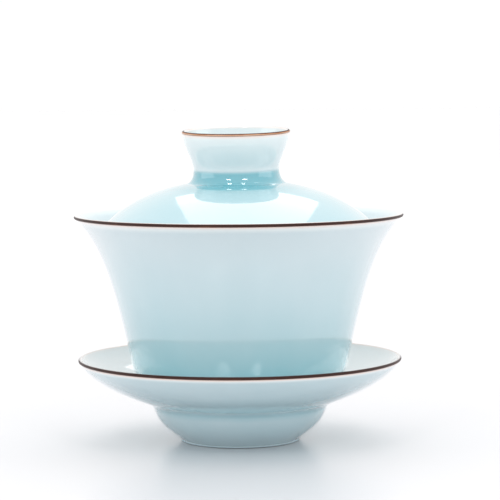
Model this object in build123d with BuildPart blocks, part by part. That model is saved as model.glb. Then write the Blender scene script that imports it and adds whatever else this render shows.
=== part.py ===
from build123d import *
import os

# A gaiwan: a lidded porcelain tea bowl on a footed saucer, 100 mm across the bowl's mouth.
# Every piece is turned about the Z axis. Z = 0 is the face the saucer stands on, and each
# point of a section is (distance from the axis, height), in millimetres.

os.makedirs("parts", exist_ok=True)


# ---- Driving dimensions ----

SEAT_GAP = 0.2              # clearance where one fired piece rests on another
EDGE_HEIGHT = 0.6           # bare, unglazed resting edge of a foot ring
EDGE_ROUND = 0.3            # wiped corners of that edge

# Saucer
SAUCER_FOOT_INNER = 14.9    # mouth of the hollow foot
SAUCER_FOOT_RADIUS = 18.2   # outside of the foot, just above its bare edge
SAUCER_FOOT_SWELL = (26.6, 10.8)    # widest part of the foot
SAUCER_FOOT_HOLLOW = (22.9, 9.2)    # widest part of the hollow inside it
SAUCER_NECK = (26.6, 11.3)          # where the foot meets the dish
SAUCER_FLOOR_UNDER = 9.3
SAUCER_FLOOR_TOP = 11.6     # floor of the well that the bowl stands in
SAUCER_WELL_RADIUS = 20.8
SAUCER_RIM = (49.1, 24.6)
SAUCER_WALL = (2.3, 1.1)    # thickness at the neck and at the lip

# Bowl
BOWL_FOOT_INNER = 16.8
BOWL_FOOT_RADIUS = 19.4
BOWL_FOOT_JOIN = (20.2, 15.4)       # where the foot ring meets the belly
BOWL_BASE = SAUCER_FLOOR_TOP + SEAT_GAP
BOWL_FLOOR_TOP = 18.2
BOWL_BELLY = (33.0, 24.0)           # where the round belly meets the flaring wall
BOWL_RIM = (49.85, 68.2)
BOWL_WALL = (2.4, 1.1)      # thickness at the belly and at the lip

# Lid
LID_CROWN = 79.6
LID_EDGE = (43.35, 63.25)
LID_WALL = (2.2, 1.5)       # thickness at the crown and at the edge
KNOB_ROOT = (15.6, 78.3)    # where the knob's outer fillet runs into the dome
KNOB_PIT = (8.6, 79.0)      # where its inner fillet does
KNOB_NECK = (13.05, 82.6)
KNOB_RIM = (16.4, 93.85)
KNOB_WALL = (1.7, 1.2)      # thickness at the neck and at the lip
KNOB_ROOT_DEPTH = 0.7       # how far the root is carried down before the dome is cut out of it


# ---- Sections ----


def left_of(start, end):
    """Unit vector square to the run from start to end, on its left."""
    run = (Vector(*end) - Vector(*start)).normalized()
    return Vector(-run.Y, run.X)


def second_face(face, first, last):
    """Bezier points of a wall's other face, set off to the left of the first face.

    first and last are the wall's thickness at the two ends. A negative thickness sets
    the face off to the right.
    """
    at_first = left_of(face[0], face[1])
    at_last = left_of(face[2], face[3])
    return [
        Vector(*face[0]) + at_first * first,
        Vector(*face[1]) + at_first * (2 * first + last) / 3,
        Vector(*face[2]) + at_last * (first + 2 * last) / 3,
        Vector(*face[3]) + at_last * last,
    ]


def lip(face, other):
    """Centre and crest of the half-round lip between the far ends of a wall's two faces."""
    end = Vector(*face[3])
    far = Vector(*other[3])
    centre = (end + far) / 2
    outward = (end - Vector(*face[2])).normalized()
    return centre, centre + outward * (far - end).length / 2


def lip_quarter(end, centre, crest):
    """Quarter circle of a lip, from one face's end up to the crest."""
    shoulder = (end - centre + crest - centre).normalized() * (crest - centre).length
    ThreePointArc(end, centre + shoulder, crest)


def lip_inside(face, other):
    """The clay's own part of a lip: its inner quarter, with a seat for the band outside it."""
    centre, crest = lip(face, other)
    Polyline(face[3], centre, crest)
    lip_quarter(Vector(*other[3]), centre, crest)


# Underside of the saucer's dish from the neck out to the rim, and the upper side above it
dish_under = [SAUCER_NECK, (33.6, 13.9), (45.0, 17.9), SAUCER_RIM]
dish_upper = second_face(dish_under, *SAUCER_WALL)

# Outside of the bowl's flaring wall from the belly up to the rim, and its inside
wall_outer = [BOWL_BELLY, (38.7, 50.7), (42.3, 60.2), BOWL_RIM]
wall_inner = second_face(wall_outer, *BOWL_WALL)

# Outside of the lid's dome from the crown out to the edge, and its inside
dome_outer = [(0, LID_CROWN), (16.0, LID_CROWN), (32.8, 76.3), LID_EDGE]
dome_inner = second_face(dome_outer, -LID_WALL[0], -LID_WALL[1])

# Outside of the knob's wall from the neck up to the rim, and its inside
knob_outer = [KNOB_NECK, (KNOB_NECK[0], 85.7), (16.3, 90.1), KNOB_RIM]
knob_inner = second_face(knob_outer, *KNOB_WALL)


# ---- Pieces that repeat ----


def rim_band(label, face, other):
    """Band of iron-brown glaze that forms the outer quarter of a wall's lip."""
    centre, crest = lip(face, other)
    with BuildPart() as band:
        with BuildSketch(Plane.XZ):
            with BuildLine():
                Polyline(face[3], centre, crest)
                lip_quarter(Vector(*face[3]), centre, crest)
            make_face()
        revolve(axis=Axis.Z)
    band.part.label = label
    return band.part


def foot_edge(label, inner_radius, outer_radius, base):
    """Bare resting edge of a foot ring, flat underneath with wiped corners."""
    with BuildPart() as edge:
        with BuildSketch(Plane.XZ) as section:
            with BuildLine():
                Polyline(
                    (inner_radius, base + EDGE_HEIGHT),
                    (inner_radius, base),
                    (outer_radius - EDGE_ROUND, base),
                    (outer_radius, base + EDGE_HEIGHT),
                    close=True,
                )
            make_face()
            fillet(section.vertices().group_by(Axis.Y)[0], EDGE_ROUND)
        revolve(axis=Axis.Z)
    edge.part.label = label
    return edge.part


# ---- Saucer ----

with BuildPart() as saucer_dish:
    with BuildSketch(Plane.XZ):
        with BuildLine():
            # The flat floor's underside ends where the dish's slope, carried on inward, meets it
            slope = Vector(*dish_under[1]) - Vector(*dish_under[0])
            floor_run = (SAUCER_NECK[1] - SAUCER_FLOOR_UNDER) * slope.X / slope.Y
            floor_corner = (SAUCER_NECK[0] - floor_run, SAUCER_FLOOR_UNDER)
            Polyline((0, SAUCER_FLOOR_TOP), (0, SAUCER_FLOOR_UNDER), floor_corner, SAUCER_NECK)
            Bezier(*dish_under)
            lip_inside(dish_under, dish_upper)
            Bezier(*dish_upper)
            # The well is a soft S between the slope and the floor
            well_rise = dish_upper[0].Y - SAUCER_FLOOR_TOP
            brow_handle = dish_upper[0] - slope.normalized() * 1.4 * well_rise
            floor_handle = (SAUCER_WELL_RADIUS + well_rise, SAUCER_FLOOR_TOP)
            well_edge = (SAUCER_WELL_RADIUS, SAUCER_FLOOR_TOP)
            Bezier(dish_upper[0], brow_handle, floor_handle, well_edge)
            Line(well_edge, (0, SAUCER_FLOOR_TOP))
        make_face()
    revolve(axis=Axis.Z)
saucer_dish.part.label = "saucer_dish"

with BuildPart() as saucer_foot:
    with BuildSketch(Plane.XZ):
        with BuildLine():
            outer_start = (SAUCER_FOOT_RADIUS, EDGE_HEIGHT)
            inner_start = (SAUCER_FOOT_INNER, EDGE_HEIGHT)
            Line(inner_start, outer_start)
            Bezier(outer_start, (22.7, 4.0), (25.5, 6.0), SAUCER_FOOT_SWELL)
            # Carried up into the dish, which is then cut out of it
            Polyline(
                SAUCER_FOOT_SWELL,
                (SAUCER_FOOT_SWELL[0], SAUCER_NECK[1] + 1),
                (SAUCER_FOOT_HOLLOW[0], SAUCER_NECK[1]),
                SAUCER_FOOT_HOLLOW,
            )
            Bezier(SAUCER_FOOT_HOLLOW, (22.8, 6.6), (17.6, 4.2), inner_start)
        make_face()
    revolve(axis=Axis.Z)
    add(saucer_dish.part, mode=Mode.SUBTRACT)
saucer_foot.part.label = "saucer_foot"

saucer_foot_edge = foot_edge("saucer_foot_edge", SAUCER_FOOT_INNER, SAUCER_FOOT_RADIUS, 0)
saucer_rim_band = rim_band("saucer_rim_band", dish_under, dish_upper)


# ---- Bowl ----

with BuildPart() as bowl_wall:
    with BuildSketch(Plane.XZ):
        with BuildLine():
            Polyline((0, BOWL_FLOOR_TOP), (0, BOWL_FOOT_JOIN[1]), BOWL_FOOT_JOIN)
            Bezier(BOWL_FOOT_JOIN, (29.0, 15.6), (32.04, 19.5), BOWL_BELLY)
            Bezier(*wall_outer)
            lip_inside(wall_outer, wall_inner)
            Bezier(*wall_inner)
            Bezier(wall_inner[0], (29.7, 19.8), (19.0, BOWL_FLOOR_TOP), (0, BOWL_FLOOR_TOP))
        make_face()
    revolve(axis=Axis.Z)
bowl_wall.part.label = "bowl_wall"

with BuildPart() as bowl_foot_ring:
    with BuildSketch(Plane.XZ):
        with BuildLine():
            ring_bottom = BOWL_BASE + EDGE_HEIGHT
            ring_start = (BOWL_FOOT_RADIUS, ring_bottom)
            Bezier(ring_start, (BOWL_FOOT_RADIUS, 14.6), BOWL_FOOT_JOIN)
            Polyline(
                BOWL_FOOT_JOIN,
                (BOWL_FOOT_INNER, BOWL_FOOT_JOIN[1]),
                (BOWL_FOOT_INNER, ring_bottom),
                ring_start,
            )
        make_face()
    revolve(axis=Axis.Z)
bowl_foot_ring.part.label = "bowl_foot_ring"

bowl_foot_edge = foot_edge("bowl_foot_edge", BOWL_FOOT_INNER, BOWL_FOOT_RADIUS, BOWL_BASE)
bowl_rim_band = rim_band("bowl_rim_band", wall_outer, wall_inner)


# ---- Lid ----

with BuildPart() as lid_dome:
    with BuildSketch(Plane.XZ):
        with BuildLine():
            Bezier(*dome_outer)
            lip_inside(dome_outer, dome_inner)
            Bezier(*dome_inner)
            Line(dome_inner[0], dome_outer[0])
        make_face()
    revolve(axis=Axis.Z)
lid_dome.part.label = "lid_dome"

with BuildPart() as lid_knob:
    with BuildSketch(Plane.XZ):
        with BuildLine():
            Bezier(KNOB_ROOT, (13.8, 78.6), (KNOB_NECK[0], 80.4), KNOB_NECK)
            Bezier(*knob_outer)
            lip_inside(knob_outer, knob_inner)
            Bezier(*knob_inner)
            Bezier(knob_inner[0], (11.35, 81.0), (10.8, 79.6), KNOB_PIT)
            Polyline(
                KNOB_PIT,
                (KNOB_PIT[0], KNOB_PIT[1] - KNOB_ROOT_DEPTH),
                (KNOB_ROOT[0], KNOB_ROOT[1] - KNOB_ROOT_DEPTH),
                KNOB_ROOT,
            )
        make_face()
    revolve(axis=Axis.Z)
    add(lid_dome.part, mode=Mode.SUBTRACT)
lid_knob.part.label = "lid_knob"

lid_edge_band = rim_band("lid_edge_band", dome_outer, dome_inner)
lid_knob_band = rim_band("lid_knob_band", knob_outer, knob_inner)


# ---- Files, one for each piece ----

pieces = [
    saucer_dish.part,
    saucer_foot.part,
    saucer_foot_edge,
    saucer_rim_band,
    bowl_wall.part,
    bowl_foot_ring.part,
    bowl_foot_edge,
    bowl_rim_band,
    lid_dome.part,
    lid_knob.part,
    lid_edge_band,
    lid_knob_band,
]
for piece in pieces:
    export_step(piece, f"parts/{piece.label}.step")
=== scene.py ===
import math

import bpy
import bmesh
from mathutils import Euler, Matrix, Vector


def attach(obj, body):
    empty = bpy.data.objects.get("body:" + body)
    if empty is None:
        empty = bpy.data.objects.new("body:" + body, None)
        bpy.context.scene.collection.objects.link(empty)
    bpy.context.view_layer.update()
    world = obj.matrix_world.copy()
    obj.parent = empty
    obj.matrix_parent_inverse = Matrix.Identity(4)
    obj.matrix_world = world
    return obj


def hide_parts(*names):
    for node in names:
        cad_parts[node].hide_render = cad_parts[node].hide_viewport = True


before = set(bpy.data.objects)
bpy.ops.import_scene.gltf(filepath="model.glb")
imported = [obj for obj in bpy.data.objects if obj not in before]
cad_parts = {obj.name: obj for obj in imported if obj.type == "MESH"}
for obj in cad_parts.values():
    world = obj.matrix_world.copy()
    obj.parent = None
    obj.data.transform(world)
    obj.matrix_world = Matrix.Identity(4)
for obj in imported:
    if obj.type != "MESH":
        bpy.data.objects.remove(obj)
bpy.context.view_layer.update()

# A gaiwan: a lidded porcelain tea bowl on a footed saucer, thrown and glazed piece by piece.
# Sections are drawn in millimetres as (distance from the axis, height) and turned in metres.
MM = 0.001

TURNS = 256             # stations round a turned piece
STEP = 0.6              # spacing of stations along a section, in mm
SMALL_STEP = 0.07       # the same round a lip or a foot's edge
FINE_STEPS = 4          # how many of a wall's last steps before its lip are divided
FINE_PARTS = 6          # and into how many parts
STRAIGHT_STEP = 3.0     # spacing of stations along a straight run, in mm
SEAT_STEP = 0.3         # the same in the seat of an iron line
SAME_POINT = 1e-4       # points of a section that are nearer than this, in mm, are one
QUARTER_PULL = 0.5523   # length of a quarter round's handles, as a share of its radius
HALVINGS = 20           # how often the search for a height on a face narrows down
SHARP_ANGLE = 40        # edges where faces meet at more than this, in degrees, stay sharp


# ---- Camera ----

# Places are in metres and the lens in mm
CAMERA_DISTANCE = 0.716
CAMERA_HEIGHT = 0.1128
CAMERA_ASIDE = 0.00335
CAMERA_LENS = 170
CAMERA_TILT = math.radians(-4.38)
CAMERA_ROLL = math.radians(-0.5)


def place_camera():
    data = bpy.data.cameras.new("studio_camera")
    data.lens = CAMERA_LENS
    data.sensor_width = 36
    data.clip_start = 0.01
    data.clip_end = 20
    camera = bpy.data.objects.new("studio_camera", data)
    camera.location = (CAMERA_ASIDE, -CAMERA_DISTANCE, CAMERA_HEIGHT)
    aim = Euler((math.radians(90) + CAMERA_TILT, 0, 0)).to_matrix()
    roll = Euler((0, 0, CAMERA_ROLL)).to_matrix()
    camera.rotation_euler = (aim @ roll).to_euler()
    bpy.context.scene.collection.objects.link(camera)
    bpy.context.scene.camera = camera


place_camera()


# ---- Helpers for shaders and geometry trees ----


def node(tree, kind, values=None, **settings):
    """Adds a node, with its settings and the values of its unlinked inputs."""
    made = tree.nodes.new(kind)
    for key, value in settings.items():
        setattr(made, key, value)
    for key, value in (values or {}).items():
        made.inputs[key].default_value = value
    return made


def join(tree, source, target):
    tree.links.new(source, target)


def sum_of(tree, operation, *terms):
    """A Math node on numbers or sockets."""
    made = node(tree, "ShaderNodeMath", operation=operation)
    for slot, term in zip(made.inputs, terms):
        if isinstance(term, (int, float)):
            slot.default_value = term
        else:
            join(tree, term, slot)
    return made.outputs[0]


def shades(tree, factor, stops):
    """Colour ramp through stops, each (position, (red, green, blue))."""
    made = node(tree, "ShaderNodeValToRGB")
    elements = made.color_ramp.elements
    while len(elements) < len(stops):
        elements.new(1.0)
    for element, (position, colour) in zip(elements, stops):
        element.position = position
        element.color = (*colour, 1)
    join(tree, factor, made.inputs["Fac"])
    return made.outputs["Color"]


def clouds(tree, scale, detail, roughness, stretch=(1, 1, 1)):
    """Noise on Object coordinates, with scale features to the metre."""
    place = node(tree, "ShaderNodeTexCoord")
    mapping = node(tree, "ShaderNodeMapping", {"Scale": stretch})
    values = {"Scale": scale, "Detail": detail, "Roughness": roughness}
    made = node(tree, "ShaderNodeTexNoise", values)
    join(tree, place.outputs["Object"], mapping.inputs["Vector"])
    join(tree, mapping.outputs["Vector"], made.inputs["Vector"])
    return made.outputs["Fac"]


def relief(tree, height, strength, depth, shader):
    """Roughens a shader's surface by a height, with its depth in metres."""
    bump = node(tree, "ShaderNodeBump", {"Strength": strength, "Distance": depth})
    join(tree, height, bump.inputs["Height"])
    join(tree, bump.outputs["Normal"], shader.inputs["Normal"])


def new_material(name):
    material = bpy.data.materials.new(name)
    material.use_nodes = True
    return material, material.node_tree, material.node_tree.nodes["Principled BSDF"]


# ---- Glazes and clay ----

# Colour of the glaze over white clay as its layer thickens. A layer under about 0.1 is what
# the iron of a rim has bled into.
CELADON_SHADES = [
    (0.00, (0.060, 0.022, 0.015)),
    (0.03, (0.300, 0.120, 0.070)),
    (0.06, (0.850, 0.640, 0.520)),
    (0.10, (0.880, 0.810, 0.780)),
    (0.17, (0.800, 0.880, 0.890)),
    (0.32, (0.620, 0.745, 0.785)),
    (0.50, (0.440, 0.645, 0.700)),
    (0.75, (0.220, 0.530, 0.605)),
    (1.00, (0.110, 0.450, 0.540)),
]


def celadon_glaze():
    material, tree, shader = new_material("celadon_glaze")
    # The glaze attribute holds the layer's depth, with painted light and shade mixed into it on
    # several pieces
    layer = node(tree, "ShaderNodeAttribute", attribute_name="glaze").outputs["Fac"]
    uneven = sum_of(tree, "MULTIPLY_ADD", clouds(tree, 60, 3, 0.5, (1, 1, 0.4)), 0.2, 0.9)
    join(tree, shades(tree, sum_of(tree, "MULTIPLY", layer, uneven), CELADON_SHADES),
         shader.inputs["Base Color"])
    relief(tree, clouds(tree, 240, 2, 0.4), 0.10, 0.0004, shader)
    shader.inputs["Roughness"].default_value = 0.10
    shader.inputs["IOR"].default_value = 1.55
    shader.inputs["Specular IOR Level"].default_value = 0.8
    shader.inputs["Coat Weight"].default_value = 1.0
    shader.inputs["Coat Roughness"].default_value = 0.02
    shader.inputs["Coat IOR"].default_value = 1.75
    return material


# Colour of the iron-brown dressing as its layer thickens
IRON_SHADES = [
    (0.00, (0.80, 0.58, 0.45)),
    (0.20, (0.50, 0.21, 0.09)),
    (0.45, (0.055, 0.018, 0.012)),
    (1.00, (0.014, 0.006, 0.005)),
]


def iron_brown_glaze():
    material, tree, shader = new_material("iron_wash")
    layer = node(tree, "ShaderNodeAttribute", attribute_name="glaze").outputs["Fac"]
    patches = sum_of(tree, "MULTIPLY", clouds(tree, 70, 3, 0.6), 0.5)
    join(tree, shades(tree, sum_of(tree, "SUBTRACT", layer, patches), IRON_SHADES),
         shader.inputs["Base Color"])
    shader.inputs["Roughness"].default_value = 0.4
    shader.inputs["Specular IOR Level"].default_value = 0.2
    return material


def shaded_bare_biscuit():
    material, tree, shader = new_material("unglazed_clay_shaded")
    # Near-white clay, painted darker and bluer as painted shade where the foot meets the table
    tones = [(0.3, (0.64, 0.79, 0.85)), (0.7, (0.58, 0.71, 0.76))]
    join(tree, shades(tree, clouds(tree, 90, 4, 0.6), tones), shader.inputs["Base Color"])
    relief(tree, clouds(tree, 3500, 3, 0.7), 0.5, 0.0002, shader)
    shader.inputs["Roughness"].default_value = 0.85
    return material


CELADON = celadon_glaze()
IRON = iron_brown_glaze()
SHADED_BISCUIT = shaded_bare_biscuit()


# ---- The wheel: a geometry tree that turns a section into a piece ----

PATH_RADIUS = 0.03      # of the path that a section is swept round, in metres
POLE_GAP = 1e-6         # points nearer than this, in metres, are merged at the poles
WANDER = 0.00012        # range within which a point strays from true, in metres
WANDER_SCALE = 30.0     # strays to the metre


def wheel_tree():
    """Turns a closed section, drawn in the XZ plane, once round the Z axis."""
    tree = bpy.data.node_groups.new("potters_wheel", "GeometryNodeTree")
    for name, kind in (
        ("Section", "NodeSocketGeometry"),
        ("Turns", "NodeSocketInt"),
        ("Path Radius", "NodeSocketFloat"),
        ("Wander", "NodeSocketFloat"),
        ("Lean", "NodeSocketFloat"),
        ("Lean Start", "NodeSocketFloat"),
        ("Tip Forward", "NodeSocketFloat"),
        ("Tip Aside", "NodeSocketFloat"),
        ("Tip Start", "NodeSocketFloat"),
        ("Top", "NodeSocketFloat"),
        ("Finish", "NodeSocketMaterial"),
    ):
        tree.interface.new_socket(name, in_out="INPUT", socket_type=kind)
    tree.interface.new_socket("Turned", in_out="OUTPUT", socket_type="NodeSocketGeometry")
    given = node(tree, "NodeGroupInput")
    result = node(tree, "NodeGroupOutput")

    # Lay the section flat, less the path's radius, as a sweep's profile
    to_curve = node(tree, "GeometryNodeMeshToCurve")
    inward = sum_of(tree, "MULTIPLY", given.outputs["Path Radius"], -1.0)
    offset = node(tree, "ShaderNodeCombineXYZ")
    lay_flat = node(tree, "GeometryNodeTransform", {"Rotation": (math.radians(90), 0, 0)})
    join(tree, given.outputs["Section"], to_curve.inputs["Mesh"])
    join(tree, inward, offset.inputs["X"])
    join(tree, to_curve.outputs["Curve"], lay_flat.inputs["Geometry"])
    join(tree, offset.outputs["Vector"], lay_flat.inputs["Translation"])

    # Sweep it round the path and close the poles
    path = node(tree, "GeometryNodeCurvePrimitiveCircle")
    sweep = node(tree, "GeometryNodeCurveToMesh")
    poles = node(tree, "GeometryNodeMergeByDistance", {"Distance": POLE_GAP})
    join(tree, given.outputs["Turns"], path.inputs["Resolution"])
    join(tree, given.outputs["Path Radius"], path.inputs["Radius"])
    join(tree, path.outputs["Curve"], sweep.inputs["Curve"])
    join(tree, lay_flat.outputs["Geometry"], sweep.inputs["Profile Curve"])
    join(tree, sweep.outputs["Mesh"], poles.inputs["Geometry"])

    # No thrown piece is quite true: every point wanders a little, by a slow fixed noise
    place = node(tree, "GeometryNodeInputPosition")
    drift = node(tree, "ShaderNodeTexNoise", {"Scale": WANDER_SCALE, "Detail": 0.0})
    centred = node(tree, "ShaderNodeVectorMath", {1: (0.5, 0.5, 0.5)}, operation="SUBTRACT")
    push = node(tree, "ShaderNodeVectorMath", operation="SCALE")
    untrue = node(tree, "GeometryNodeSetPosition")
    join(tree, place.outputs["Position"], drift.inputs["Vector"])
    join(tree, drift.outputs["Color"], centred.inputs[0])
    join(tree, centred.outputs["Vector"], push.inputs[0])
    join(tree, given.outputs["Wander"], push.inputs["Scale"])

    # A knob is luted on by eye: towards its top the piece leans aside, and the knob tips
    coordinates = node(tree, "ShaderNodeSeparateXYZ")
    join(tree, place.outputs["Position"], coordinates.inputs["Vector"])
    shares = []
    for start in ("Lean Start", "Tip Start"):
        share = node(tree, "ShaderNodeMapRange", interpolation_type="SMOOTHSTEP")
        join(tree, coordinates.outputs["Z"], share.inputs["Value"])
        join(tree, given.outputs[start], share.inputs["From Min"])
        join(tree, given.outputs["Top"], share.inputs["From Max"])
        shares.append(share.outputs["Result"])
    forward = sum_of(tree, "MULTIPLY", coordinates.outputs["Y"], given.outputs["Tip Forward"])
    tipped = sum_of(tree, "MULTIPLY", coordinates.outputs["X"], given.outputs["Tip Aside"])
    offset_up = sum_of(tree, "MULTIPLY", sum_of(tree, "ADD", forward, tipped), shares[1])
    set_askew = node(tree, "ShaderNodeCombineXYZ")
    both = node(tree, "ShaderNodeVectorMath", operation="ADD")
    join(tree, sum_of(tree, "MULTIPLY", given.outputs["Lean"], shares[0]), set_askew.inputs["X"])
    join(tree, offset_up, set_askew.inputs["Z"])
    join(tree, set_askew.outputs["Vector"], both.inputs[0])
    join(tree, push.outputs["Vector"], both.inputs[1])
    join(tree, poles.outputs["Geometry"], untrue.inputs["Geometry"])
    join(tree, both.outputs["Vector"], untrue.inputs["Offset"])

    realize = node(tree, "GeometryNodeRealizeInstances")
    dress = node(tree, "GeometryNodeSetMaterial")
    join(tree, untrue.outputs["Geometry"], realize.inputs["Geometry"])
    join(tree, realize.outputs["Geometry"], dress.inputs["Geometry"])
    join(tree, given.outputs["Finish"], dress.inputs["Material"])
    join(tree, dress.outputs["Geometry"], result.inputs["Turned"])
    return tree


WHEEL = wheel_tree()

# How the lid is set, in metres and slopes: between the start and the top it comes to lean to
# the left, and its knob to tip forward and to the left
LID_SET = {
    "Lean": -0.0006,
    "Lean Start": 0.064,
    "Tip Forward": 0.048,
    "Tip Aside": 0.008,
    "Tip Start": 0.077,
    "Top": 0.0845,
}
# The other pieces stand true; their top only has to lie above their start
TRUE_SET = {**dict.fromkeys(LID_SET, 0.0), "Top": 1.0}


def turn(cad_node, body, section, finish, layer):
    """Turns a section into the piece that stands for a CAD node.

    layer gives the thickness of the glaze at a distance from the axis and a height; on the
    celadon pieces it also carries painted light and shade.
    """
    name = cad_node + "_turned"
    wire = bpy.data.meshes.new(name + "_section")
    count = len(section)
    points = [(point.x * MM, 0, point.y * MM) for point in section]
    wire.from_pydata(points, [(i, (i + 1) % count) for i in range(count)], [])
    depth = wire.attributes.new("glaze", "FLOAT", "POINT")
    depth.data.foreach_set("value", [layer(point.x, point.y) for point in section])
    blank = bpy.data.objects.new(name + "_blank", wire)
    bpy.context.scene.collection.objects.link(blank)
    wheel = blank.modifiers.new("wheel", "NODES")
    wheel.node_group = WHEEL
    inputs = {"Turns": TURNS, "Path Radius": PATH_RADIUS, "Wander": WANDER, "Finish": finish}
    inputs.update(LID_SET if body == "lid" else TRUE_SET)
    for item in WHEEL.interface.items_tree:
        if item.in_out == "INPUT" and item.name in inputs:
            wheel[item.identifier] = inputs[item.name]
    ready = blank.evaluated_get(bpy.context.evaluated_depsgraph_get())
    mesh = bpy.data.meshes.new_from_object(ready)
    bpy.data.objects.remove(blank)
    mesh.name = name
    work = bmesh.new()
    work.from_mesh(mesh)
    bmesh.ops.recalc_face_normals(work, faces=work.faces)
    work.to_mesh(mesh)
    work.free()
    mesh.shade_smooth()
    mesh.set_sharp_from_angle(angle=math.radians(SHARP_ANGLE))
    piece = bpy.data.objects.new(name, mesh)
    bpy.context.scene.collection.objects.link(piece)
    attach(piece, body)
    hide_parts(cad_node)


# ---- Drawing a section ----


def at(radius, height):
    return Vector((radius, height))


def curve(start, leave, arrive, end, step=STEP, fine_end=False):
    """Points of a cubic curve with its two handles, closer together at a fine end."""
    knots = (start, leave, arrive, end)
    run = sum((b - a).length for a, b in zip(knots, knots[1:]))
    steps = max(8, round(run / step))
    shares = [i / steps for i in range(steps + 1)]
    if fine_end:
        coarse = shares[:-FINE_STEPS]
        parts = FINE_STEPS * FINE_PARTS
        fine = [1 - (parts - i) / (steps * FINE_PARTS) for i in range(FINE_PARTS, parts + 1)]
        shares = coarse + fine
    return [spot(knots, share)[0] for share in shares]


def straight(start, end, step=STRAIGHT_STEP):
    steps = max(1, round((end - start).length / step))
    return [start.lerp(end, i / steps) for i in range(steps + 1)]


def quarter(start, end, corner):
    """Quarter round that fills the square corner between two points."""
    leave = start.lerp(corner, QUARTER_PULL)
    arrive = end.lerp(corner, QUARTER_PULL)
    return curve(start, leave, arrive, end, SMALL_STEP)


def left_of(start, end):
    """Unit vector square to the run from start to end, on its left."""
    run = (end - start).normalized()
    return Vector((-run.y, run.x))


def second_face(face, first, last):
    """A wall's other face, to the left of the first by its thickness at the two ends."""
    at_first = left_of(face[0], face[1])
    at_last = left_of(face[2], face[3])
    return [
        face[0] + at_first * first,
        face[1] + at_first * (2 * first + last) / 3,
        face[2] + at_last * (first + 2 * last) / 3,
        face[3] + at_last * last,
    ]


def spot(face, share):
    """Point of a curve at a share of its way, and its direction there."""
    a, b, c, d = face
    rest = 1 - share
    point = a * rest ** 3 + b * 3 * rest ** 2 * share + c * 3 * rest * share ** 2 + d * share ** 3
    heading = (b - a) * rest ** 2 + (c - b) * 2 * rest * share + (d - c) * share ** 2
    return point, heading.normalized()


class Lip:
    """The half-round lip between the far ends of a wall's two faces."""

    def __init__(self, face, other):
        self.outer, self.inner = face[3], other[3]
        self.centre = (self.outer + self.inner) / 2
        self.rise = (self.outer - face[2]).normalized() * (self.outer - self.inner).length / 2
        self.crest = self.centre + self.rise

    def round_from(self, end):
        """From the end of a face to the crest, then by the iron line's seat to the outer face."""
        rounded = quarter(end, self.crest, end + self.rise)
        down = straight(self.crest, self.centre, SEAT_STEP)
        out = straight(self.centre, self.outer, SEAT_STEP)
        return rounded + down + out

    def away(self, radius, height):
        """Distance from the iron line's two borders, whichever is nearer."""
        point = at(radius, height)
        return min((point - self.outer).length, (point - self.crest).length)


def outline(*runs):
    """One closed outline from runs of points, less the points where they meet."""
    points = []
    for run in runs:
        for point in run:
            if not points or (point - points[-1]).length > SAME_POINT:
                points.append(point)
    if (points[0] - points[-1]).length < SAME_POINT:
        points.pop()
    return points


# ---- Driving dimensions, in mm ----

# The same as the clay's, but for the draft of a foot's edge and the fillets

EDGE_HEIGHT = 0.6           # of the bare resting edge of a foot
EDGE_ROUND = 0.3            # of that edge's corners
EDGE_DRAFT = 0.1            # how far its outer side leans in

SAUCER_NECK = at(26.6, 11.3)
SAUCER_FLOOR_UNDER = 9.3
SAUCER_FLOOR_TOP = 11.6
SAUCER_WELL_RADIUS = 20.8
WELL_BROW = 1.4             # upper handle of the well's side, as a share of its rise
SAUCER_FOOT_INNER = 14.9
SAUCER_FOOT_RADIUS = 18.2
SAUCER_FOOT_SWELL = at(26.6, 10.8)
SAUCER_FOOT_HOLLOW = at(22.9, 9.2)
SAUCER_RIM = at(49.1, 24.6)
SAUCER_WALL = (2.3, 1.1)    # thickness at the neck and at the lip
dish_under = [SAUCER_NECK, at(33.6, 13.9), at(45.0, 17.9), SAUCER_RIM]
dish_upper = second_face(dish_under, *SAUCER_WALL)
saucer_lip = Lip(dish_under, dish_upper)

BOWL_BASE = 11.8
BOWL_FOOT_INNER = 16.8
BOWL_FOOT_RADIUS = 19.4
BOWL_FOOT_JOIN = at(20.2, 15.4)
BOWL_FLOOR_TOP = 18.2
BOWL_BELLY = at(33.0, 24.0)
BOWL_RIM = at(49.85, 68.2)
BOWL_WALL = (2.4, 1.1)      # thickness at the belly and at the lip
bowl_belly = [BOWL_FOOT_JOIN, at(29.0, 15.6), at(32.04, 19.5), BOWL_BELLY]
wall_outer = [BOWL_BELLY, at(38.7, 50.7), at(42.3, 60.2), BOWL_RIM]
wall_inner = second_face(wall_outer, *BOWL_WALL)
bowl_lip = Lip(wall_outer, wall_inner)

LID_CROWN = 79.6
LID_EDGE = at(43.35, 63.25)
LID_WALL = (2.2, 1.5)       # thickness at the crown and at the edge
dome_outer = [at(0, LID_CROWN), at(16.0, LID_CROWN), at(32.8, 76.3), LID_EDGE]
dome_inner = second_face(dome_outer, -LID_WALL[0], -LID_WALL[1])
dome_lip = Lip(dome_outer, dome_inner)

KNOB_NECK = at(13.05, 82.6)
KNOB_RIM = at(16.4, 93.85)
KNOB_WALL = (1.7, 1.2)      # thickness at the neck and at the lip
knob_outer = [KNOB_NECK, at(KNOB_NECK.x, 85.7), at(16.3, 90.1), KNOB_RIM]
knob_inner = second_face(knob_outer, *KNOB_WALL)
knob_lip = Lip(knob_outer, knob_inner)

# Fillets of luted pieces, which run a little into their neighbours as the clay's solids do not.
# The first five say where one starts or ends, as a share of the way along the face it lies on.
FOOT_FILLET_END = 0.09      # on the dish's underside
FOOT_FILLET_START = 0.94    # on the foot's own side
RING_FILLET_END = 0.06      # on the bowl's belly
KNOB_FILLET_END = 0.327     # on the dome, outside the knob
PIT_FILLET_END = 0.16       # on the dome, inside the knob
FOOT_FILLET_CLEAR = 0.03    # how far outside the dish the foot's fillet stays
KNOB_FILLET_SINK = 0.12     # how far the knob's fillet starts below the dome's outside
ROOT_DEPTH = 0.8            # how far the knob is carried down into the dome
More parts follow.
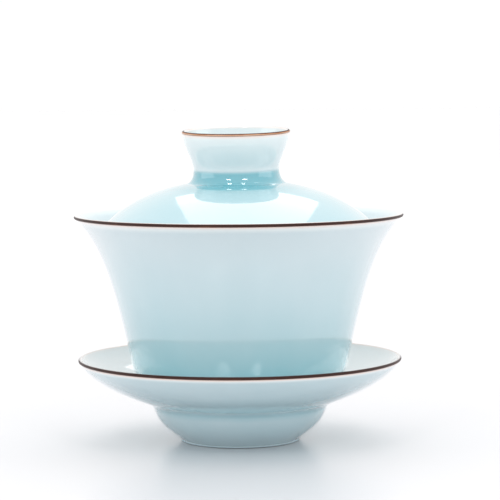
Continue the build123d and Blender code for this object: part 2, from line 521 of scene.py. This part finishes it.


# ---- How thick the glaze lies, with painted light and shade ----

# Depth of the layer on each part, as a place on the celadon's ramp of colours. Some depths also
# paint light and shade: the saucer's top is paler as if lit, and the pool round the knob's neck
# is darkened as painted shade.
SAUCER_TOP_LIT_LAYER = 0.17
SAUCER_WELL_LAYER = 0.36
SAUCER_UNDER_LAYER = 0.54
FOOT_LAYER = 0.42
BOWL_LAYER = 0.52
DOME_LAYER = 0.58
KNOB_LAYER = 0.26
POOL_AND_SHADE_LAYER = 1.0        # round the knob's neck: pooled glaze, darkened further as painted shade

REACH = 3.0             # how far from an iron line the layer is still thin, in mm
SAUCER_REACH = 1.8      # the same on the saucer
KNOB_REACH = 1.4        # and on the knob
SAUCER_STAIN = 0.25     # width of the iron's stain on the saucer's upper side, in mm
UPPER_SIDE = 0.7        # a point this far above the dish's underside, in mm, is on its top


def ease(value, low, high):
    """Smooth step from 0 at low to 1 at high."""
    share = min(1, max(0, (value - low) / (high - low)))
    return share * share * (3 - 2 * share)


def drained(layer, away, reach=REACH, stain=0.0):
    """A layer that has run thin beside an iron line, which stains its border."""
    away = max(0, away - stain)
    bleed = 0.08 * ease(away, 0.08, 0.25) + 0.04 * ease(away, 0.3, 0.8)
    return bleed + (layer - bleed) * ease(away, 0.5, reach)


def height_on(face, radius):
    """Height of a face that runs outwards, at a distance from the axis."""
    low, high = 0.0, 1.0
    for _ in range(HALVINGS):
        middle = (low + high) / 2
        if spot(face, middle)[0].x < radius:
            low = middle
        else:
            high = middle
    return spot(face, low)[0].y


# Painted light and shade on one glaze: the dish's top is kept paler as if lit, and its underside
# is painted lighter towards the rim and darker towards the foot.
def saucer_layer_and_painted_light(radius, height):
    away = saucer_lip.away(radius, height)
    if radius < SAUCER_WELL_RADIUS:
        return SAUCER_WELL_LAYER if height > SAUCER_NECK.y else SAUCER_UNDER_LAYER
    if height > height_on(dish_under, radius) + UPPER_SIDE:
        layer = SAUCER_TOP_LIT_LAYER - 0.03 * ease(radius, 24, 42)
        return drained(layer, away, SAUCER_REACH, SAUCER_STAIN)
    return drained(SAUCER_UNDER_LAYER - 0.14 * ease(radius, 32, 47), away, SAUCER_REACH)


# Glaze pooled where the foot meets the dish, darkened there also as painted shade under the dish.
def foot_layer_and_painted_shade(radius, height):
    pool_and_shade = ease(height, 8.5, 10.8) * (1 - ease(radius, 26.8, 28.4))
    return FOOT_LAYER + 0.14 * pool_and_shade


# Thinner towards the rim, and thicker low down and in the join with the foot ring, as the glaze
# runs; the darker lower wall is also painted shade and painted reflection from the saucer below.
def bowl_layer_and_painted_shade(radius, height):
    layer = BOWL_LAYER - 0.10 * ease(height, 33, 50) - 0.10 * ease(height, 46, 66)
    layer += 0.22 * (1 - ease(height, 18, 35))
    layer += 0.2 * (1 - ease(height, 15, 18)) * (1 - ease(radius, 21, 25))
    return drained(layer, bowl_lip.away(radius, height))


# Paler towards the edge. Darker round the knob, where glaze pools at its root; that darkening is
# also the knob's painted reflection and shade on the dome.
def dome_layer_and_painted_shade(radius, height):
    layer = DOME_LAYER - 0.08 * ease(radius, 24, 40) + 0.42 * (1 - ease(radius, 15, 25))
    return drained(layer, dome_lip.away(radius, height))


# A deep pool of glaze round the neck, darker still as painted shade and reflection in the crease;
# the wall above is paler towards the lip.
def knob_layer_and_painted_shade(radius, height):
    pool_and_shade = POOL_AND_SHADE_LAYER - 0.18 * ease(radius, 13.8, 15.6)
    wall = KNOB_LAYER - 0.08 * ease(height, 83.5, 93)
    layer = pool_and_shade + (wall - pool_and_shade) * ease(height, 81.6, 83.3)
    return drained(layer, knob_lip.away(radius, height), KNOB_REACH)


def bare_layer(radius, height):
    return 0


# ---- Pieces ----


def foot_edge(cad_node, body, inner, outer, base):
    """Bare resting edge of a foot ring."""
    top = base + EDGE_HEIGHT
    lift = base + EDGE_ROUND
    tread = at(outer - 2 * EDGE_ROUND, base)
    section = outline(
        straight(at(inner, top), at(inner, lift)),
        quarter(at(inner, lift), at(inner + EDGE_ROUND, base), at(inner, base)),
        straight(at(inner + EDGE_ROUND, base), tread),
        quarter(tread, at(outer - EDGE_DRAFT, lift), at(outer - 2 * EDGE_DRAFT, base)),
        straight(at(outer - EDGE_DRAFT, lift), at(outer, top)),
        straight(at(outer, top), at(inner, top)),
    )
    turn(cad_node, body, section, SHADED_BISCUIT, bare_layer)


def iron_line(cad_node, body, lip, thickness, thinning):
    """Line of iron dressing, thick along the lip's crest and thinner down its outer side."""

    def layer(radius, height):
        below = (at(radius, height) - lip.crest).length
        return thickness * (1 - thinning * ease(below, 0.15, 0.75))

    turn(cad_node, body, outline(lip.round_from(lip.outer)), IRON, layer)


def saucer():
    slope = (dish_under[1] - dish_under[0]).normalized()
    run = (SAUCER_NECK.y - SAUCER_FLOOR_UNDER) / slope.y
    under_corner = SAUCER_NECK - slope * run
    well_edge = at(SAUCER_WELL_RADIUS, SAUCER_FLOOR_TOP)
    well_rise = dish_upper[0].y - SAUCER_FLOOR_TOP
    brow = dish_upper[0] - slope * WELL_BROW * well_rise
    dish = outline(
        straight(at(0, SAUCER_FLOOR_TOP), well_edge),
        curve(well_edge, well_edge + at(well_rise, 0), brow, dish_upper[0], 0.25),
        curve(*dish_upper, fine_end=True),
        saucer_lip.round_from(saucer_lip.inner),
        reversed(curve(*dish_under, fine_end=True)),
        straight(SAUCER_NECK, under_corner),
        straight(under_corner, at(0, SAUCER_FLOOR_UNDER)),
    )
    turn("saucer_dish", "saucer", dish, CELADON, saucer_layer_and_painted_light)

    inner_start = at(SAUCER_FOOT_INNER, EDGE_HEIGHT)
    outer_start = at(SAUCER_FOOT_RADIUS, EDGE_HEIGHT)
    foot_side = [outer_start, at(22.7, 4.0), at(25.5, 6.0), SAUCER_FOOT_SWELL]
    shoulder, heading = spot(dish_under, FOOT_FILLET_END)
    shoulder += at(heading.y, -heading.x) * FOOT_FILLET_CLEAR
    fillet_start, rise = spot(foot_side, FOOT_FILLET_START)
    root = shoulder + at(-0.3, 0.6)
    hollow_top = SAUCER_FOOT_HOLLOW + at(0, 1.2)
    foot = outline(
        straight(inner_start, outer_start),
        curve(*foot_side, step=0.4)[:-2],
        curve(fillet_start, fillet_start + rise * 0.7, shoulder - heading * 1.2, shoulder, 0.1),
        straight(shoulder, root),
        straight(root, hollow_top),
        straight(hollow_top, SAUCER_FOOT_HOLLOW),
        curve(SAUCER_FOOT_HOLLOW, at(22.8, 6.6), at(17.6, 4.2), inner_start),
    )
    turn("saucer_foot", "saucer", foot, CELADON, foot_layer_and_painted_shade)
    foot_edge("saucer_foot_edge", "saucer", SAUCER_FOOT_INNER, SAUCER_FOOT_RADIUS, 0)
    iron_line("saucer_rim_band", "saucer", saucer_lip, 1.0, 0.3)


def bowl():
    floor = at(0, BOWL_FLOOR_TOP)
    wall = outline(
        curve(floor, at(19.0, BOWL_FLOOR_TOP), at(29.7, 19.8), wall_inner[0]),
        curve(*wall_inner, fine_end=True),
        bowl_lip.round_from(bowl_lip.inner),
        reversed(curve(*wall_outer, fine_end=True)),
        curve(*reversed(bowl_belly)),
        straight(bowl_belly[0], at(0, bowl_belly[0].y)),
    )
    turn("bowl_wall", "bowl", wall, CELADON, bowl_layer_and_painted_shade)

    ring_bottom = BOWL_BASE + EDGE_HEIGHT
    ring_start = at(BOWL_FOOT_RADIUS, ring_bottom)
    shoulder, heading = spot(bowl_belly, RING_FILLET_END)
    root = shoulder + at(-0.4, 0.6)
    inner_top = at(BOWL_FOOT_INNER, 16.0)
    inner_bottom = at(BOWL_FOOT_INNER, ring_bottom)
    ring = outline(
        curve(ring_start, ring_start + at(0, 1.8), shoulder - heading * 1.8, shoulder, 0.2),
        straight(shoulder, root),
        straight(root, inner_top),
        straight(inner_top, inner_bottom),
        straight(inner_bottom, ring_start),
    )
    turn("bowl_foot_ring", "bowl", ring, CELADON, bowl_layer_and_painted_shade)
    foot_edge("bowl_foot_edge", "bowl", BOWL_FOOT_INNER, BOWL_FOOT_RADIUS, BOWL_BASE)
    iron_line("bowl_rim_band", "bowl", bowl_lip, 1.0, 0.3)


def lid():
    dome = outline(
        curve(*dome_outer, fine_end=True),
        reversed(dome_lip.round_from(dome_lip.inner)),
        reversed(curve(*dome_inner, fine_end=True)),
    )
    turn("lid_dome", "lid", dome, CELADON, dome_layer_and_painted_shade)

    root, outward = spot(dome_outer, KNOB_FILLET_END)
    pit, pit_outward = spot(dome_outer, PIT_FILLET_END)
    root_start = root + at(0, -KNOB_FILLET_SINK)
    root_bottom = root + at(-0.4, -ROOT_DEPTH)
    pit_bottom = pit + at(0.2, -ROOT_DEPTH)
    knob = outline(
        curve(root_start, root - outward * 1.7, KNOB_NECK - at(0, 2.3), KNOB_NECK, 0.15),
        curve(*knob_outer, step=0.3, fine_end=True),
        reversed(knob_lip.round_from(knob_lip.inner)),
        reversed(curve(*knob_inner, step=0.3, fine_end=True)),
        curve(knob_inner[0], knob_inner[0] - at(0, 1.6), pit + pit_outward * 1.8, pit, 0.2),
        straight(pit, pit_bottom),
        straight(pit_bottom, root_bottom),
        straight(root_bottom, root_start),
    )
    turn("lid_knob", "lid", knob, CELADON, knob_layer_and_painted_shade)
    iron_line("lid_edge_band", "lid", dome_lip, 0.8, 0.3)
    iron_line("lid_knob_band", "lid", knob_lip, 0.95, 0.62)


saucer()
bowl()
lid()


# ---- Studio ----

FLOOR_REACH = 6.0           # from the middle of the floor to its sides, in metres
FLOOR_FADE = (0.25, 1.2)    # the floor pales between these distances from it, in metres
MIX_A, MIX_B, MIX_RESULT = 6, 7, 2      # a Mix node's sockets for colours, by number
OVERHEAD = (0.07, 0.80, 1.1)
OVERHEAD_AIM = (0.07, 0.80, 0)
SIDE_AIM = (0, 0, 0)
LAMP_AIM = (0, 0, 0.08)


def studio_floor():
    mesh = bpy.data.meshes.new("studio_floor")
    reach = FLOOR_REACH
    corners = [(-reach, -reach, 0), (reach, -reach, 0), (reach, reach, 0), (-reach, reach, 0)]
    mesh.from_pydata(corners, [], [(0, 1, 2, 3)])
    floor = bpy.data.objects.new("studio_floor", mesh)
    floor.location.z = -WANDER      # below the lowest point that a foot strays to
    bpy.context.scene.collection.objects.link(floor)
    material, tree, shader = new_material("studio_floor")
    tones = [(0.3, (0.75, 0.745, 0.765)), (0.7, (0.78, 0.775, 0.795))]
    place = node(tree, "ShaderNodeTexCoord")
    far = node(tree, "ShaderNodeVectorMath", operation="LENGTH")
    fade = {"From Min": FLOOR_FADE[0], "From Max": FLOOR_FADE[1]}
    sweep = node(tree, "ShaderNodeMapRange", fade)
    blend = node(tree, "ShaderNodeMix", data_type="RGBA")
    blend.inputs[MIX_B].default_value = (0.97, 0.97, 0.97, 1)
    join(tree, place.outputs["Object"], far.inputs[0])
    join(tree, far.outputs["Value"], sweep.inputs["Value"])
    join(tree, sweep.outputs["Result"], blend.inputs["Factor"])
    join(tree, shades(tree, clouds(tree, 3, 2, 0.5), tones), blend.inputs[MIX_A])
    join(tree, blend.outputs[MIX_RESULT], shader.inputs["Base Color"])
    shader.inputs["Roughness"].default_value = 0.26
    shader.inputs["Specular IOR Level"].default_value = 0.7
    mesh.materials.append(material)


def softbox(name, place, aim, width, height, brightness):
    """Soft rectangular light with a power of brightness times pi to the square metre."""
    data = bpy.data.lights.new(name, "AREA")
    data.shape = "RECTANGLE"
    data.size = width
    data.size_y = height
    data.energy = brightness * math.pi * width * height
    lamp = bpy.data.objects.new(name, data)
    lamp.location = place
    lamp.rotation_euler = (Vector(aim) - Vector(place)).to_track_quat("-Z", "Y").to_euler()
    bpy.context.scene.collection.objects.link(lamp)


def studio_air():
    world = bpy.data.worlds.new("studio_air")
    world.use_nodes = True
    air = world.node_tree.nodes["Background"]
    air.inputs["Color"].default_value = (1, 1, 1, 1)
    air.inputs["Strength"].default_value = 1.02
    bpy.context.scene.world = world
    bpy.context.scene.view_settings.view_transform = "Standard"


studio_floor()
studio_air()
softbox("overhead_softbox", OVERHEAD, OVERHEAD_AIM, width=0.92, height=1.6, brightness=1.2)
for side in (-1, 1):
    side_place = (side * 1.1, -0.1, 0.3)
    lamp_place = (side * 0.46, -1.0, 1.15)
    softbox("side_softbox", side_place, SIDE_AIM, width=0.9, height=0.5, brightness=0.6)
    softbox("front_lamp", lamp_place, LAMP_AIM, width=0.26, height=0.14, brightness=14)
